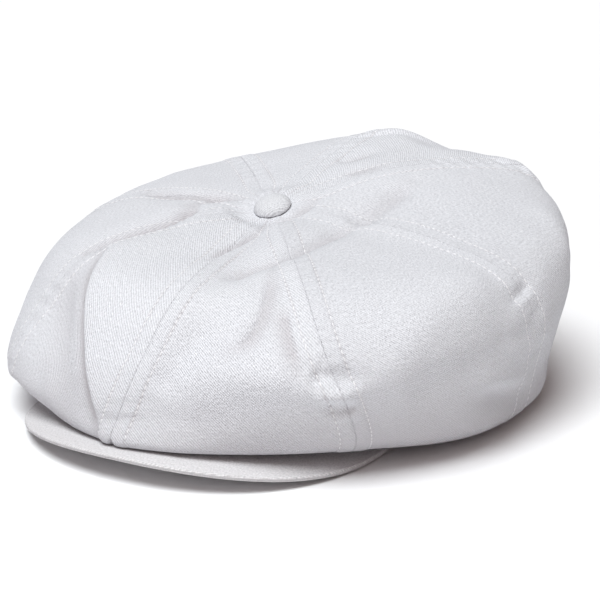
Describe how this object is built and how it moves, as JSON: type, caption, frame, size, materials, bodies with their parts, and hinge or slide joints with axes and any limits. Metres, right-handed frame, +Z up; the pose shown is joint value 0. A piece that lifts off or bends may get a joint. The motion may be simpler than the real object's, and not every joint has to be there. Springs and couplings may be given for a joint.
{
  "type": "cotton cap with panelled crown, button and peak",
  "caption": "White cotton cap with a full soft crown of gored panels meeting at a covered button, slouched over a short rounded peak.",
  "frame": {"origin": "centre of the cap's outer box at its lowest height, where it stands", "axes": "+Z up, the peak points to -Y, +X is the wearer's left"},
  "size_m": [0.268, 0.2856, 0.1117],
  "materials": {
    "crown_twill": "matte",
    "button_twill": "matte",
    "peak_twill": "matte",
    "band_cotton": "matte"
  },
  "bodies": {
    "root": {"panel_front_left": "crown_twill", "panel_left_front": "crown_twill", "panel_left_back": "crown_twill", "panel_back_left": "crown_twill", "panel_back_right": "crown_twill", "panel_right_back": "crown_twill", "panel_right_front": "crown_twill", "panel_front_right": "crown_twill", "button": "button_twill", "peak": "peak_twill", "sweatband": "band_cotton"}
  },
  "joints": []
}
